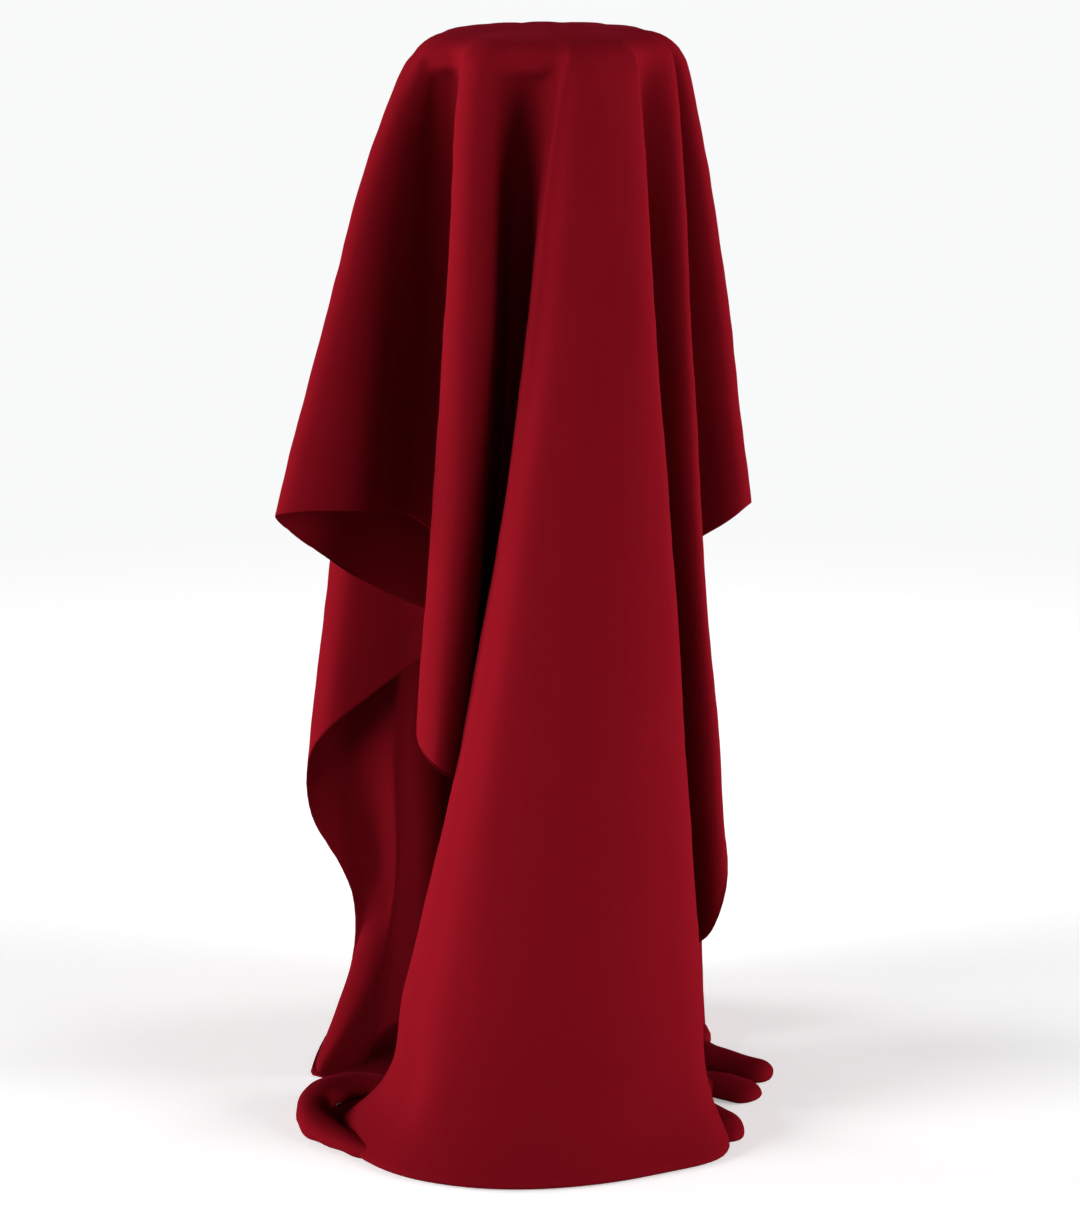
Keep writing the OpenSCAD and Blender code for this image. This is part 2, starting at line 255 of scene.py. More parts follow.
def blur_loop(values, sigma):
    """Gaussian blur of a closed row of values along its last-but-one axis."""
    reach = int(3 * sigma) + 1
    weights = np.exp(-0.5 * (np.arange(-reach, reach + 1) / sigma) ** 2)
    weights /= weights.sum()
    return sum(w * np.roll(values, k, axis=-2) for w, k in zip(weights, range(-reach, reach + 1)))


def ripple(points, seed, length, count=10):
    """A smooth random field in space with about that wavelength, one value a point."""
    rng = np.random.default_rng(seed)
    total = np.zeros(points.shape[:-1])
    for _ in range(count):
        way = rng.normal(size=3)
        way *= 2 * math.pi / (length * rng.uniform(0.7, 1.6) * np.linalg.norm(way))
        total += np.sin(points @ way + rng.uniform(0, 2 * math.pi))
    return total / math.sqrt(count)


def mesh_object(name, points, faces, uv=None):
    mesh = bpy.data.meshes.new(name)
    mesh.from_pydata([tuple(p) for p in points], [], faces)
    mesh.update()
    if uv is not None:
        layer = mesh.uv_layers.new(name="cloth")
        corners = np.empty(len(mesh.loops), int)
        mesh.loops.foreach_get("vertex_index", corners)
        layer.data.foreach_set("uv", np.asarray(uv, np.float32)[corners].ravel())
    obj = bpy.data.objects.new(name, mesh)
    bpy.context.scene.collection.objects.link(obj)
    mesh.polygons.foreach_set("use_smooth", [True] * len(mesh.polygons))
    return obj


def thicken(obj, thickness):
    solid = obj.modifiers.new("thickness", "SOLIDIFY")
    solid.thickness = thickness
    solid.offset = 0


def grid_faces(rows, columns, first=0, closed=True, keep=None):
    """Quads of a grid of points, closed round or not, only where keep holds for both sides."""
    faces = []
    for j in range(rows - 1):
        for i in range(columns if closed else columns - 1):
            n = (i + 1) % columns
            if keep is None or keep[j, i] and keep[j, n]:
                a, b = first + j * columns, first + (j + 1) * columns
                faces.append((a + i, b + i, b + n, a + n))
    return faces


def row_shares(count):
    """Shares from 0 to 1 down a column, closer together at the shoulder and at the floor."""
    s = np.linspace(0, 1, 400)
    density = 1 + 2.6 * np.exp(-s / 0.05) + 2.0 * np.exp(-(1 - s) / 0.03)
    walk = np.concatenate([[0], np.cumsum((density[1:] + density[:-1]) / 2)])
    return np.interp(np.linspace(0, walk[-1], count + 1), walk, s)[:, None]


def drape_rows():
    """Rows of points of the whole cloth, from the crown to the fold on the floor, in mm, and
    which of them belong to it: the fold is only under the columns that come down to it."""
    heights, stations, ridge = line_stations()
    t = even_parameters(stations, AROUND)
    curves = np.array([smooth_loop(s, t) for s in stations])
    curves[1:] = blur_loop(curves[1:], PLAN_BLUR)
    curves[0] = blur_loop(curves[0], RIM_BLUR)
    angle_of = np.unwrap(np.arctan2(curves[0][:, 1], curves[0][:, 0] - FALL_X))
    n = len(LINES)
    hems = np.array([row[1] for row in LINES], float)
    hem = np.interp(t, np.arange(n + 1), np.append(hems, hems[0]))
    hem = blur_loop(hem[:, None], HEM_BLUR)[:, 0]
    hem = np.maximum(hem, TUCK_R)
    z = FALL_Z + (hem[None, :] - FALL_Z) * row_shares(DOWN)
    plan = along_height(heights, curves, z)
    body = np.concatenate([plan, z[..., None]], axis=2)

    # The top, from ring to ring between the two profiles
    high = np.interp(t, np.arange(n + 1), np.append(ridge, ridge[0]))
    high = blur_loop(high[:, None], RIDGE_BLUR)[:, 0]
    edge = np.linalg.norm(curves[0] - [FALL_X, 0], axis=1)
    top = []
    for (r1, z1), (r2, z2) in zip(RIDGE_TOP, VALLEY_TOP):
        r = r2 + (r1 - r2) * high
        top.append(np.stack([FALL_X * r / edge + r * np.cos(angle_of), r * np.sin(angle_of),
                             z2 + (z1 - z2) * high], 1))
    body[0, :, 2] = top.pop()[:, 2]

    # The fold on the floor, which gets smaller towards the columns that end higher
    weight = np.clip(1 - (hem - TUCK_R) / TUCK_FADE, 0, 1)
    foot = body[-1, :, :2]
    smooth = blur_loop(foot, 7.0)
    along = np.roll(smooth, -1, axis=0) - np.roll(smooth, 1, axis=0)
    outward = np.stack([along[:, 1], -along[:, 0]], 1)
    outward /= np.linalg.norm(outward, axis=1, keepdims=True)
    radius = TUCK_R * weight
    middle = foot - outward * radius[:, None]
    room = (np.linalg.norm(foot, axis=1) - TUCK_CLEAR) * 0.85
    room = np.clip(room, TUCK_LEAST, TUCK_LENGTH) * weight
    room = blur_loop(room[:, None], 3.0)[:, 0] * weight
    room *= np.clip(2.4 * blur_loop(weight[:, None], 5.0)[:, 0] - 1.4, 0.02, 1)
    inward = -foot / np.linalg.norm(foot, axis=1, keepdims=True)
    inward = blur_loop(inward - outward, 6.0)
    inward /= np.linalg.norm(inward, axis=1, keepdims=True)
    tail = []
    for a in np.radians(TUCK_ANGLES):
        place = middle + outward * (radius * math.cos(a))[:, None]
        height = hem - (radius - FLOOR_LIFT * weight) * math.sin(a)
        tail.append(np.concatenate([place, height[:, None]], 1))
    lying = tail[-1][:, 2:]
    for share in TUCK_SHARES:
        place = middle + inward * (room * share)[:, None]
        tail.append(np.concatenate([place, lying], 1))
    tail = np.array(tail)
    rows = np.concatenate([np.array(top), body, tail])
    shown = np.ones(rows.shape[:2], bool)
    shown[len(top) + len(body):] = weight > 0
    return rows, shown


def surface_normals(rows):
    """The unit normal of the cloth at each point of its closed rows."""
    along = np.roll(rows, -1, axis=1) - np.roll(rows, 1, axis=1)
    down = np.gradient(rows, axis=0)
    normal = np.cross(down, along)
    return normal / np.maximum(np.linalg.norm(normal, axis=2, keepdims=True), 1e-6)


def clear_of_pad(rows):
    """Pushes the cloth that is beside the pad out to where the cover can't come through."""
    radius = np.linalg.norm(rows[..., :2], axis=2)
    inside = np.minimum(PAD_SIDE_TOP - rows[..., 2], rows[..., 2] - PAD_SIDE_LOW)
    share = np.clip(inside / PAD_SIDE_FADE, 0, 1)
    grow = 1 + share * np.maximum(PAD_CLEAR / np.maximum(radius, 1) - 1, 0)
    rows[..., :2] *= grow[..., None]
    return rows


def hanging_cloth():
    """Points, faces and weave coordinates of all the cloth but the folds beside its foot."""
    rows, shown = drape_rows()
    count = len(rows)
    # The unevenness fades out towards the floor and towards the pad
    fade = np.clip(np.minimum(rows[..., 2] / 120, (BOARD_Z - rows[..., 2]) / 60), 0, 1)
    swell = sum(size * ripple(rows, seed, length) for size, seed, length in SWELLS)
    rows = clear_of_pad(rows + surface_normals(rows) * (swell * fade)[..., None])
    down = np.linalg.norm(np.diff(rows, axis=0), axis=2).mean(axis=1)
    down = np.concatenate([[CLOTH_START], CLOTH_START + np.cumsum(down)])
    side = np.linspace(0, CLOTH_ROUND, AROUND, endpoint=False)
    uv = np.stack(np.broadcast_arrays(side[None, :], down[:, None]), 2).reshape(-1, 2)
    points = np.concatenate([rows.reshape(-1, 3), [[0, 0, RIDGE_TOP[0][1]]]]) * MM
    uv = np.concatenate([uv, [[CLOTH_ROUND / 2, 0]]]) * MM
    faces = grid_faces(count, AROUND, keep=shown)
    centre = len(points) - 1
    faces += [(centre, i, (i + 1) % AROUND) for i in range(AROUND)]
    return points, faces, uv


# ---- Cloth that lies on the floor ----------------------------------------------------------
FOLD_STEP = 0.004    # the weave's measure between two points of a roll or patch, in metres
FLOOR_LEAST = 0.8    # least height of a roll's points, and of a patch's
PATCH_LEAST = 2.0
# Each roll: places along it in plan, its half width and its height at each place, in mm.
ROLLS = {
    "left": [((-196, -80), 30, 22), ((-244, -64), 32, 24), ((-288, -80), 30, 28),
             ((-309, -122), 23, 31), ((-312, -170), 21, 31), ((-304, -212), 21, 29),
             ((-281, -246), 21, 26), ((-246, -280), 20, 22), ((-196, -306), 16, 20)],
    "right_back": [((186, 206), 15, 20), ((196, 170), 20, 24), ((196, 128), 24, 27),
                   ((193, 84), 26, 29), ((206, 44), 28, 29), ((240, 14), 28, 28),
                   ((272, -8), 25, 27), ((297, -20), 21, 25)],
    "right_front": [((232, -250), 20, 22), ((227, -234), 26, 26), ((214, -208), 29, 30),
                    ((196, -172), 26, 30), ((184, -132), 24, 28), ((184, -88), 27, 26),
                    ((206, -56), 33, 24), ((236, -66), 32, 23), ((258, -80), 28, 22),
                    ((278, -90), 22, 20)],
}
ROLL_STEPS = 56
ROLL_SIDES = 28
ROLL_MIDDLE = 0.42   # height of a roll's widest place, as a share of its whole height
ROLL_SWELL = 1.2
ROLL_SEED = 20
# Each patch between the rolls and the panels: its outer edge and its inner edge, each point
# with its height, then the height of its soft folds, and its columns.
PATCHES = {
    "left_foot": (((-262, -92, 6), (-290, -126, 4), (-296, -170, 4), (-290, -212, 5),
                   (-268, -250, 8), (-232, -288, 12)),
                  ((-190, -96, 16), (-206, -130, 18), (-212, -172, 34), (-206, -214, 60),
                   (-200, -250, 62), (-190, -290, 50)), 0.0, 40),
    "right_apron": (((222, -252, 5), (216, -206, 7), (206, -160, 6), (204, -112, 7), (214, -62, 6),
                     (220, -16, 6), (216, 34, 8), (206, 84, 7), (204, 130, 6), (200, 196, 5)),
                    ((176, -268, 3), (166, -212, 4), (160, -160, 3), (156, -112, 3), (160, -62, 4),
                     (158, -16, 3), (156, 34, 3), (158, 84, 4), (166, 130, 3), (176, 206, 3)),
                    11.0, 110),
}
PATCH_ROWS = 22
RISE_POWER = 1.7     # how late a patch starts to rise to its inner edge


def weave_grid(rows, columns):
    """Weave coordinates of a grid of points."""
    j, i = np.mgrid[0:rows, 0:columns]
    return np.stack([j * FOLD_STEP, i * FOLD_STEP], 2).reshape(-1, 2)


def add_patches(points, faces, uv):
    """Adds the patches to the points, faces and weave coordinates of the cloth."""
    for outer, inner, lift, columns in PATCHES.values():
        low, high = smooth_path(outer, columns), smooth_path(inner, columns)
        f = np.linspace(0, 1, PATCH_ROWS)[:, None, None]
        rows = low + (high - low) * f
        rows[..., 2] = low[:, 2] + (high[:, 2] - low[:, 2]) * f[..., 0] ** RISE_POWER
        middle = (f * (1 - f) * 4)[..., 0]
        rows[..., 2] += 1.4 * ripple(rows, 31, 55) * middle
        rows[..., 2] += lift * middle * (0.55 + 0.45 * ripple(rows, 37, 48))
        rows[..., 2] = np.maximum(rows[..., 2], PATCH_LEAST)
        faces += grid_faces(PATCH_ROWS, columns, len(points), closed=False)
        points = np.concatenate([points, rows.reshape(-1, 3) * MM])
        uv = np.concatenate([uv, weave_grid(PATCH_ROWS, columns)])
    return points, faces, uv


def roll_points(name, seed):
    """A soft closed roll: flat where it lies, full on top, rounded at its ends."""
    places = smooth_path([p for p, _, _ in ROLLS[name]], ROLL_STEPS)
    sizes = smooth_path([(w, h) for _, w, h in ROLLS[name]], ROLL_STEPS)
    walk = np.concatenate([[0], np.cumsum(np.linalg.norm(np.diff(places, axis=0), axis=1))])
    end = np.minimum(walk, walk[-1] - walk) / sizes[:, 0]
    round_off = np.sqrt(np.clip(1 - (1 - np.clip(end, 0, 1)) ** 2, 0.0004, 1))
    along = np.gradient(places, axis=0)
    side = np.stack([-along[:, 1], along[:, 0]], 1)
    side /= np.linalg.norm(side, axis=1, keepdims=True)
    a = np.linspace(0, 2 * math.pi, ROLL_SIDES, endpoint=False)
    across = np.sign(np.cos(a)) * np.abs(np.cos(a)) ** 0.9
    up = np.sign(np.sin(a)) * np.abs(np.sin(a)) ** 0.82
    up = np.where(up > 0, up, 0.72 * up)
    half, tall = sizes[:, :1] * round_off[:, None], sizes[:, 1:] * round_off[:, None]
    plan = places[:, None] + side[:, None] * (half * across)[..., None]
    z = tall * (ROLL_MIDDLE + (1 - ROLL_MIDDLE) * up)
    z = z + (1 - round_off[:, None]) * sizes[:, 1:] * ROLL_MIDDLE
    points = np.concatenate([plan, np.maximum(z, FLOOR_LEAST)[..., None]], 2)
    swell = ROLL_SWELL * ripple(points, seed, 45)[..., None]
    points = points + swell * np.array([0.6, 0.6, 0.8])
    points[..., 2] = np.maximum(points[..., 2], FLOOR_LEAST)
    return points


def add_rolls(points, faces, uv):
    """Adds the rolls, each with a face over both of its ends."""
    for number, name in enumerate(ROLLS):
        rows = roll_points(name, ROLL_SEED + number)
        first = len(points)
        points = np.concatenate([points, rows.reshape(-1, 3) * MM])
        uv = np.concatenate([uv, weave_grid(ROLL_STEPS, ROLL_SIDES)])
        faces += grid_faces(ROLL_STEPS, ROLL_SIDES, first)
        faces.append(tuple(first + k for k in range(ROLL_SIDES)))
        last = first + (ROLL_STEPS - 1) * ROLL_SIDES
        faces.append(tuple(last + k for k in reversed(range(ROLL_SIDES))))
    return points, faces, uv


# ---- Materials ---------------------------------------------------------------------------
FABRIC_MID = (0.106, 0.0023, 0.0054, 1)
FABRIC_DARK = (0.080, 0.0014, 0.0038, 1)
FABRIC_LIGHT = (0.137, 0.0038, 0.0076, 1)
FABRIC_SHEEN = (1.0, 0.055, 0.13, 1)
FLOOR_R = 3.6
FLOOR_FADE = (1.5, 3.5)  # the radii between which the floor fades out
FLOOR_GLOW = 0.35        # lifts the floor's shadows, as an overexposed floor does


def new_material(name):
    mat = bpy.data.materials.new(name)
    mat.use_nodes = True
    tree = mat.node_tree
    return mat, tree, tree.nodes["Principled BSDF"]


def add_node(tree, kind, inputs=None, **settings):
    made = tree.nodes.new(kind)
    for key, value in settings.items():
        setattr(made, key, value)
    for key, value in (inputs or {}).items():
        if isinstance(value, bpy.types.NodeSocket):
            tree.links.new(value, made.inputs[key])
        else:
            made.inputs[key].default_value = value
    return made


def noise(tree, vector, scale, detail=2.0, roughness=0.5):
    return add_node(tree, "ShaderNodeTexNoise", {"Vector": vector, "Scale": scale,
                    "Detail": detail, "Roughness": roughness}).outputs["Fac"]


def mix_colour(tree, factor, first, second):
    made = add_node(tree, "ShaderNodeMix", {"Factor": factor}, data_type="RGBA")
    for socket, value in ((made.inputs[6], first), (made.inputs[7], second)):
        if isinstance(value, bpy.types.NodeSocket):
            tree.links.new(value, socket)
        else:
            socket.default_value = value
    return made.outputs[2]


def bump(tree, height, distance, strength=1.0, normal=None):
    inputs = {"Height": height, "Distance": distance, "Strength": strength}
    if normal is not None:
        inputs["Normal"] = normal
    return add_node(tree, "ShaderNodeBump", inputs).outputs["Normal"]


def fabric_material():
    """Fine twill with a short brushed face, the colour a little uneven."""
    mat, tree, shader = new_material("crimson_cloth")
    place = add_node(tree, "ShaderNodeTexCoord").outputs
    cloth = add_node(tree, "ShaderNodeUVMap", uv_map="cloth").outputs["UV"]
    grain = noise(tree, place["Object"], 900, 3, 0.7)
    cloud = noise(tree, place["Object"], 14, 2)
    tone = mix_colour(tree, grain, FABRIC_DARK, FABRIC_LIGHT)
    tree.links.new(mix_colour(tree, cloud, tone, FABRIC_MID), shader.inputs["Base Color"])
    shader.inputs["Roughness"].default_value = 0.92
    shader.inputs["Specular IOR Level"].default_value = 0.0
    shader.inputs["Sheen Weight"].default_value = 0.035
    shader.inputs["Sheen Roughness"].default_value = 0.35
    shader.inputs["Sheen Tint"].default_value = FABRIC_SHEEN
    twill = add_node(tree, "ShaderNodeTexWave", {"Vector": cloth, "Scale": 260.0,
                     "Distortion": 1.2, "Detail": 2.0, "Detail Scale": 2.0},
                     wave_type="BANDS", bands_direction="DIAGONAL").outputs["Fac"]
    first = bump(tree, twill, 0.00012, 0.5)
    nap = noise(tree, place["Object"], 420, 3, 0.65)
    tree.links.new(bump(tree, nap, 0.0005, 0.35, first), shader.inputs["Normal"])
    return mat


def floor_material():
    """White paper that fades into the white of the studio at its edge."""
    mat, tree, shader = new_material("floor_white")
    place = add_node(tree, "ShaderNodeTexCoord").outputs["Object"]
    cloud = noise(tree, place, 1.2, 2)
    tone = mix_colour(tree, cloud, (0.89, 0.89, 0.895, 1), (0.92, 0.92, 0.925, 1))
    tree.links.new(tone, shader.inputs["Base Color"])
    shader.inputs["Roughness"].default_value = 0.8
    shader.inputs["Specular IOR Level"].default_value = 0.1
    reach = add_node(tree, "ShaderNodeVectorMath", {0: place}, operation="LENGTH").outputs["Value"]
    fade = add_node(tree, "ShaderNodeMapRange", {"Value": reach, "From Min": FLOOR_FADE[0],
                    "From Max": FLOOR_FADE[1], "To Min": 1.0, "To Max": 0.0},
                    interpolation_type="SMOOTHSTEP").outputs["Result"]
    tree.links.new(fade, shader.inputs["Alpha"])
    seen = add_node(tree, "ShaderNodeLightPath").outputs["Is Camera Ray"]
    glow = add_node(tree, "ShaderNodeMath", {0: seen, 1: FLOOR_GLOW}, operation="MULTIPLY")
    tree.links.new(glow.outputs["Value"], shader.inputs["Emission Strength"])
    shader.inputs["Emission Color"].default_value = (1, 1, 1, 1)
    return mat


def finish(name, dark, light, rough=(0.4, 0.5), metal=0.0, grain=(60, 3), relief=(400, 0.0002),
           stretch=(1, 1, 1), sheen=0.0, wear=None):
    """A finish with uneven colour and roughness, fine relief and, with wear, rubbed edges.

    Returns the material, its tree, its shader and the object coordinates."""
    mat, tree, shader = new_material(name)
    place = add_node(tree, "ShaderNodeTexCoord").outputs["Object"]
    mapping = add_node(tree, "ShaderNodeMapping", {"Vector": place, "Scale": stretch})
    fine = mapping.outputs["Vector"]
    tone = noise(tree, fine, grain[0], grain[1], 0.6)
    colour = mix_colour(tree, tone, (*dark, 1), (*light, 1))
    if wear:
        edge = add_node(tree, "ShaderNodeNewGeometry").outputs["Pointiness"]
        rubbed = add_node(tree, "ShaderNodeMapRange", {"Value": edge, "From Min": 0.53,
                          "From Max": 0.62, "To Min": 0.0, "To Max": 0.7}).outputs["Result"]
        colour = mix_colour(tree, rubbed, colour, (*wear, 1))
    tree.links.new(colour, shader.inputs["Base Color"])
    level = add_node(tree, "ShaderNodeMapRange", {"Value": noise(tree, fine, grain[0] * 0.4, 2),
                     "From Min": 0.3, "From Max": 0.7, "To Min": rough[0], "To Max": rough[1]})
    tree.links.new(level.outputs["Result"], shader.inputs["Roughness"])
    shader.inputs["Metallic"].default_value = metal
    shader.inputs["Sheen Weight"].default_value = sheen
    tree.links.new(bump(tree, noise(tree, fine, relief[0], 3, 0.6), relief[1], 0.5),
                   shader.inputs["Normal"])
    return mat, tree, shader, place


def add_relief(made, scale, distance, **kind):
    mat, tree, shader, place = made
    under = shader.inputs["Normal"].links[0].from_socket
    bands = add_node(tree, "ShaderNodeTexWave", {"Vector": place, "Scale": scale,
                     "Distortion": 0.4, "Detail": 1.0}, **kind).outputs["Fac"]
    tree.links.new(bump(tree, bands, distance, 0.5, under), shader.inputs["Normal"])
    return mat


def board_material():
    """Birch plywood: long grain on the faces, thin layers seen on the edge."""
    mat, tree, shader, place = finish("birch_plywood", (0.50, 0.33, 0.17), (0.66, 0.47, 0.28),
                                      (0.5, 0.65), grain=(22, 4), stretch=(1, 9, 1),
                                      relief=(160, 0.0002))
    layers = add_node(tree, "ShaderNodeTexWave", {"Vector": place, "Scale": 130.0,
                      "Distortion": 0.3}, wave_type="BANDS", bands_direction="Z").outputs["Fac"]
    face = add_node(tree, "ShaderNodeNewGeometry").outputs["Normal"]
    up = add_node(tree, "ShaderNodeSeparateXYZ", {"Vector": face}).outputs["Z"]
    side = add_node(tree, "ShaderNodeMath", {0: up, 1: 2.0}, operation="POWER").outputs["Value"]
    side = add_node(tree, "ShaderNodeMath", {0: 0.55, 1: side}, operation="SUBTRACT",
                    use_clamp=True).outputs["Value"]
    amount = add_node(tree, "ShaderNodeMath", {0: layers, 1: side}, operation="MULTIPLY")
    grain = shader.inputs["Base Color"].links[0].from_socket
    tree.links.new(mix_colour(tree, amount.outputs["Value"], grain, (0.26, 0.15, 0.07, 1)),
                   shader.inputs["Base Color"])
    return mat


def calico_material():
    """Plain weave with slubs, seen as two crossed sets of threads."""
    made = finish("calico", (0.62, 0.55, 0.43), (0.74, 0.68, 0.56), (0.85, 0.95),
                  grain=(240, 3), relief=(900, 0.0002), sheen=0.15)
    for way in ("X", "Y"):
        add_relief(made, 190.0, 0.0002, wave_type="BANDS", bands_direction=way)
    return made[0]


def stand_finishes():
    """One material for each slot of the stand's CAD nodes."""
    steel = finish("polished_mast", (0.60, 0.60, 0.62), (0.74, 0.74, 0.76), (0.12, 0.24),
                   metal=1.0, grain=(30, 3), stretch=(8, 8, 0.6), relief=(500, 0.00003))
    zinc = finish("bright_zinc", (0.50, 0.51, 0.52), (0.68, 0.68, 0.69), (0.28, 0.42), metal=1.0,
                  grain=(180, 3), relief=(900, 0.00006), wear=(0.80, 0.80, 0.80))
    rubber = finish("foot_rubber", (0.022, 0.022, 0.024), (0.040, 0.040, 0.042), (0.75, 0.9),
                    grain=(90, 3))
    brass = finish("turned_brass", (0.66, 0.45, 0.16), (0.83, 0.62, 0.27), (0.22, 0.36), metal=1.0,
                   grain=(200, 3), relief=(800, 0.00005), wear=(0.9, 0.75, 0.4))
    coat = finish("black_powder_coat", (0.016, 0.016, 0.018), (0.030, 0.030, 0.032), (0.38, 0.52),
                  grain=(120, 3), relief=(700, 0.00012), wear=(0.20, 0.20, 0.21))
    plastic = finish("black_textured_plastic", (0.015, 0.015, 0.016), (0.028, 0.028, 0.030),
                     (0.48, 0.62), grain=(260, 3), relief=(1100, 0.00018), wear=(0.09, 0.09, 0.09))
    acetal = finish("natural_acetal", (0.74, 0.72, 0.64), (0.86, 0.85, 0.79), (0.3, 0.42),
                    grain=(40, 2), relief=(600, 0.00005))
    return {
        "mast_steel": steel[0],
        "zinc": zinc[0],
        "foot_rubber": add_relief(rubber, 90.0, 0.0005, wave_type="RINGS", rings_direction="Z"),
        "shoe_brass": add_relief(brass, 700.0, 0.00004, wave_type="RINGS", rings_direction="Y"),
        "black_steel": coat[0],
        "collar_plastic": plastic[0],
        "bush_acetal": acetal[0],
        "board_wood": board_material(),
    }


def dress_stand():
    """Gives every CAD node that is shown the finish of its slot."""
    finishes = stand_finishes()
    for part in frame["record"]["subparts"]:
        mat = finishes.get(part["material_slot"])
        if mat:
            data = frame["nodes"][part["node"]].data
            data.materials.clear()
            data.materials.append(mat)


# ---- Pad and cover -----------------------------------------------------------------------
PAD_R = 140.0
PAD_EDGE = 20.0      # radius of the pad's top edge
PAD_TOP = 1403.5
PAD_CROWN = 5.0      # how far the middle of the pad stands over its edge
PAD_LOW = 1379.5
PAD_INSET = 1.2      # how much smaller the pad starts before it swells
PAD_SWELL = 1.6      # most that the simulation may move a point
PAD_PRESSURE = 4.0
PAD_FRAMES = 12
PAD_VOXEL = 0.0055   # in metres
PAD_SIDES = 96
COVER_OVER = 0.9     # how far the cover lies outside the pad's full size
COVER_LOW = 1369.9
COVER_SIDES = 288
COVER_GATHERS = 31
COVER_T = 0.0008     # in metres


def pad_profile(grow, low, count=26):
    """Radius and height from the middle of the pad, over its edge, down to low."""
    full = PAD_R + grow
    reach = full - PAD_EDGE
    r = list(np.linspace(0, reach, count)[1:])
    a = np.radians(np.linspace(90, 0, 12)[1:])
    r = np.array(r + list(reach + PAD_EDGE * np.cos(a)))
    rise = np.concatenate([np.full(count - 1, PAD_EDGE), PAD_EDGE * np.sin(a)])
    z = PAD_TOP + grow - PAD_CROWN - PAD_EDGE + rise + PAD_CROWN * (1 - (r / full) ** 2)
    down = np.linspace(z[-1], low, 5)[1:]
    return np.concatenate([r, np.full(len(down), full)]), np.concatenate([z, down])


def turned(r, z, sides):
    """Rings of points, one for each radius and height."""
    a = np.linspace(0, 2 * math.pi, sides, endpoint=False)
    return np.stack([r[:, None] * np.cos(a), r[:, None] * np.sin(a),
                     z[:, None] + 0 * a], 2)


def swollen(obj, cap):
    """Swells obj with Cloth pressure, then keeps each point within cap of where it started."""
    start = np.array([v.co[:] for v in obj.data.vertices])
    cloth = obj.modifiers.new("cloth", "CLOTH")
    cloth.settings.use_pressure = True
    cloth.settings.uniform_pressure_force = PAD_PRESSURE
    cloth.settings.effector_weights.gravity = 0
    cloth.settings.quality = 5
    scene = bpy.context.scene
    for number in range(PAD_FRAMES):
        scene.frame_set(number + 1)
    shown = obj.evaluated_get(bpy.context.evaluated_depsgraph_get())
    end = np.array([v.co[:] for v in shown.data.vertices])
    obj.modifiers.remove(cloth)
    scene.frame_set(1)
    move = end - start
    far = np.linalg.norm(move, axis=1, keepdims=True)
    move *= np.minimum(1, cap / np.maximum(far, 1e-9))
    obj.data.vertices.foreach_set("co", (start + move).ravel())
    obj.data.update()


def make_pad():
    """The foam pad: a remeshed crowned disc that a short cloth simulation has swollen."""
    r, z = pad_profile(-PAD_INSET, PAD_LOW + PAD_INSET)
    rows = turned(r, z, PAD_SIDES)
    points = np.concatenate([rows.reshape(-1, 3), [[0, 0, z[0] + 0.1], [0, 0, z[-1]]]]) * MM
    top, low = len(points) - 2, len(points) - 1
    last = (len(rows) - 1) * PAD_SIDES
    faces = grid_faces(len(rows), PAD_SIDES)
    faces += [(top, i, (i + 1) % PAD_SIDES) for i in range(PAD_SIDES)]
    faces += [(low, last + (i + 1) % PAD_SIDES, last + i) for i in range(PAD_SIDES)]
    pad = mesh_object("foam_pad", points, faces)
    remesh = pad.modifiers.new("remesh", "REMESH")
    remesh.mode = "VOXEL"
    remesh.voxel_size = PAD_VOXEL
    shown = pad.evaluated_get(bpy.context.evaluated_depsgraph_get())
    plain = pad.data
    pad.data = bpy.data.meshes.new_from_object(shown)
    pad.modifiers.remove(remesh)
    bpy.data.meshes.remove(plain)
    swollen(pad, PAD_SWELL * MM)
    floor = (PAD_LOW + 0.1) * MM
    place = np.array([v.co[:] for v in pad.data.vertices])
    place[:, 2] = np.maximum(place[:, 2], floor)
    pad.data.vertices.foreach_set("co", place.ravel())
    pad.data.polygons.foreach_set("use_smooth", [True] * len(pad.data.polygons))
    smooth = pad.modifiers.new("smooth", "SUBSURF")
    smooth.levels = smooth.render_levels = 1
    mat = finish("felted_foam", (0.66, 0.63, 0.56), (0.78, 0.76, 0.70), (0.85, 0.97),
                 grain=(160, 4), relief=(700, 0.0004), sheen=0.2)[0]
    pad.data.materials.append(mat)
    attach(pad, "mast")
    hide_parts("top_pad")


def make_cover():
    """The calico stretched over the pad, drawn in a little in small gathers at its lower edge."""
    r, z = pad_profile(COVER_OVER, COVER_LOW)
    rows = turned(r, z, COVER_SIDES)
    a = np.linspace(0, 2 * math.pi, COVER_SIDES, endpoint=False)
    low = np.clip((PAD_LOW + 3 - z) / 10, 0, 1) ** 1.5
    uneven = 1.3 * np.sin(a * 5) + 0.8 * np.sin(a * 3 + 1)
    gather = 0.5 + 0.5 * np.sin(a * COVER_GATHERS + uneven)
    rows[..., :2] *= (1 - (low[:, None] * (0.5 + 1.9 * gather)) / PAD_R)[..., None]
    points = np.concatenate([rows.reshape(-1, 3), [[0, 0, z[0] + 0.1]]]) * MM
    faces = grid_faces(len(rows), COVER_SIDES)
    faces += [(len(points) - 1, i, (i + 1) % COVER_SIDES) for i in range(COVER_SIDES)]
    cover = mesh_object("calico_cover", points, faces)
    thicken(cover, COVER_T)
    cover.data.materials.append(calico_material())
    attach(cover, "mast")
    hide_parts("pad_cover")


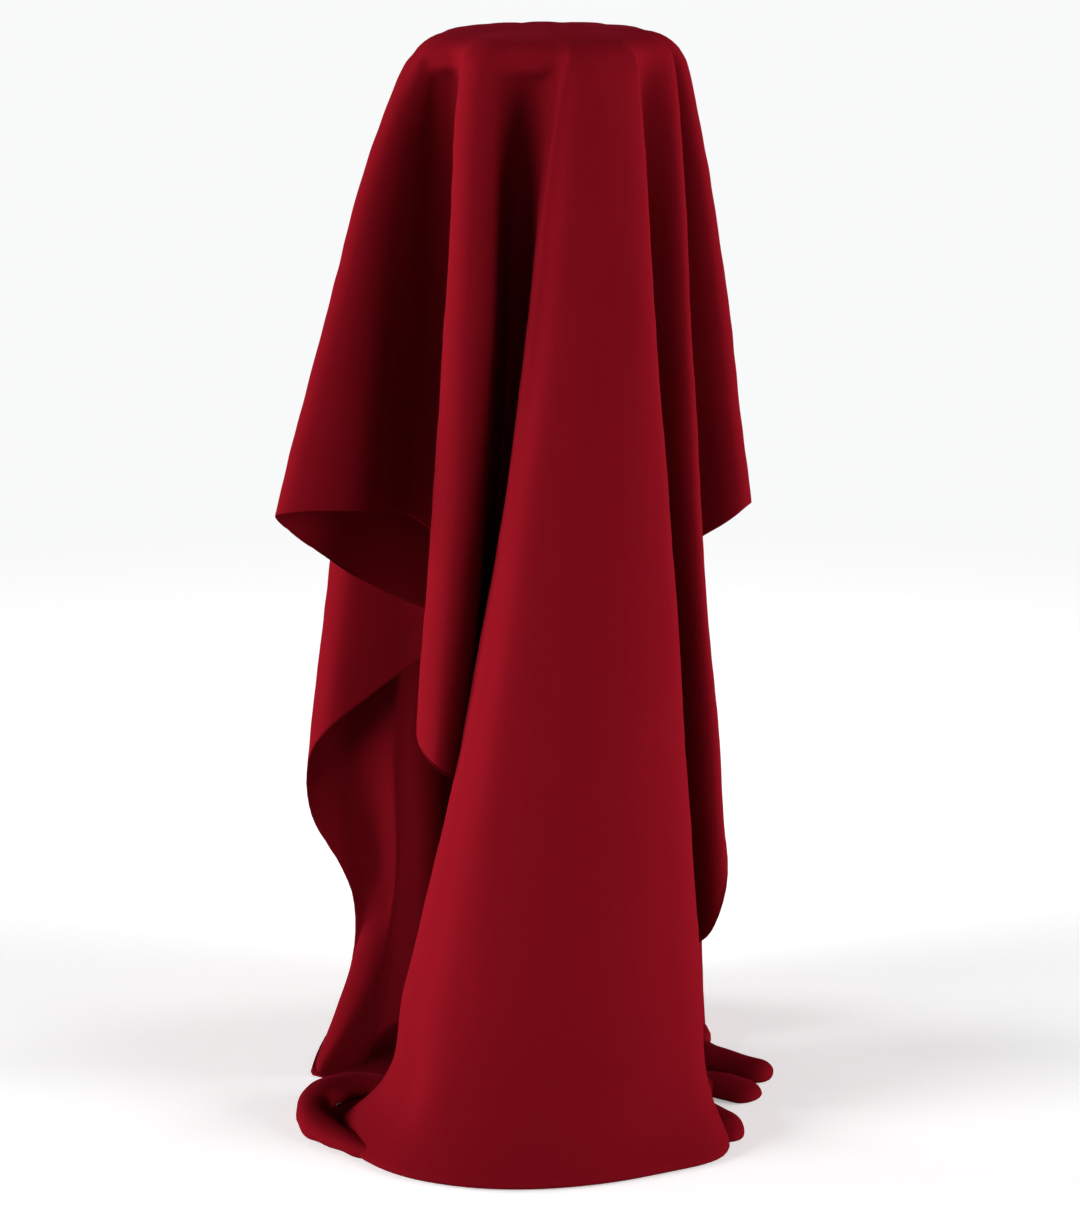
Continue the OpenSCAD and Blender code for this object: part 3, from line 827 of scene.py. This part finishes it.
# ---- The drape as one piece ----------------------------------------------------------------
def make_drape():
    """The crimson cloth in one piece, with its rolls and patches on the floor."""
    drape = mesh_object("drape", *add_patches(*add_rolls(*hanging_cloth())))
    drape.data.materials.append(fabric_material())
    thicken(drape, CLOTH_T)
    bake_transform(drape)
    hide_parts("fabric_drape")


# ---- Stage, lamps and camera ---------------------------------------------------------------
# The studio's level: as the camera sees it, and as it lights the cloth from below and above
STUDIO_SEEN = 0.955
STUDIO_LOW = 0.6
STUDIO_HIGH = 0.07
# Each lamp: the way round it stands, its elevation, its spread and its strength
LAMPS = {
    "left_softbox": (-62, 11, 40, 4.3),
    "right_softbox": (62, 11, 40, 3.8),
    "left_rim": (-102, 4, 26, 5.9),
    "right_rim": (102, 4, 26, 4.2),
}
CAMERA_PLACE = (-0.0153, -5.0, 1.87)
CAMERA_DOWN = 13.72  # in degrees
CAMERA_LENS = 115.7


def make_stage():
    """A wide round sheet of paper on the floor."""
    rings, sides = (0.6, 1.4, 2.4, FLOOR_R), 64
    points = [(0, 0, 0)]
    points += [(r * math.cos(a), r * math.sin(a), 0) for r in rings
               for a in np.linspace(0, 2 * math.pi, sides, endpoint=False)]
    faces = [(0, 1 + i, 1 + (i + 1) % sides) for i in range(sides)]
    faces += grid_faces(len(rings), sides, 1)
    obj = mesh_object("studio_floor", points, faces)
    obj.data.materials.append(floor_material())


def make_lamp(name, azimuth, elevation, spread, strength):
    """Soft light from that way round, where azimuth 0 is the front and 90 the right."""
    data = bpy.data.lights.new(name, "SUN")
    data.angle = math.radians(spread)
    data.energy = strength
    lamp = bpy.data.objects.new(name, data)
    a, e = math.radians(azimuth), math.radians(elevation)
    towards = Vector((math.sin(a) * math.cos(e), -math.cos(a) * math.cos(e), math.sin(e)))
    lamp.rotation_mode = "QUATERNION"
    lamp.rotation_quaternion = towards.to_track_quat("Z", "Y")
    bpy.context.scene.collection.objects.link(lamp)


def make_world():
    """A white studio as it's seen, but one that lights the cloth mostly from below."""
    world = bpy.data.worlds.new("studio")
    world.use_nodes = True
    tree = world.node_tree
    way = add_node(tree, "ShaderNodeTexCoord").outputs["Generated"]
    height = add_node(tree, "ShaderNodeSeparateXYZ", {"Vector": way}).outputs["Z"]
    level = add_node(tree, "ShaderNodeMapRange", {"Value": height, "From Min": -0.12,
                     "From Max": 0.02, "To Min": STUDIO_LOW, "To Max": STUDIO_HIGH},
                     interpolation_type="SMOOTHSTEP").outputs["Result"]
    seen = add_node(tree, "ShaderNodeLightPath").outputs["Is Camera Ray"]
    shown = add_node(tree, "ShaderNodeMapRange", {"Value": seen, "To Min": level,
                     "To Max": STUDIO_SEEN}).outputs["Result"]
    tree.links.new(shown, tree.nodes["Background"].inputs["Strength"])
    tree.nodes["Background"].inputs["Color"].default_value = (0.99, 0.995, 1, 1)
    bpy.context.scene.world = world


def make_camera():
    data = bpy.data.cameras.new("camera")
    data.lens = CAMERA_LENS
    data.clip_end = 300
    cam = bpy.data.objects.new("camera", data)
    cam.location = CAMERA_PLACE
    cam.rotation_euler = (math.radians(90 - CAMERA_DOWN), 0, 0)
    bpy.context.scene.collection.objects.link(cam)
    bpy.context.scene.camera = cam


make_camera()
for name, values in LAMPS.items():
    make_lamp(name, *values)
make_world()
bpy.context.scene.view_settings.view_transform = "Standard"
make_stage()
dress_stand()
make_pad()
make_cover()
make_drape()
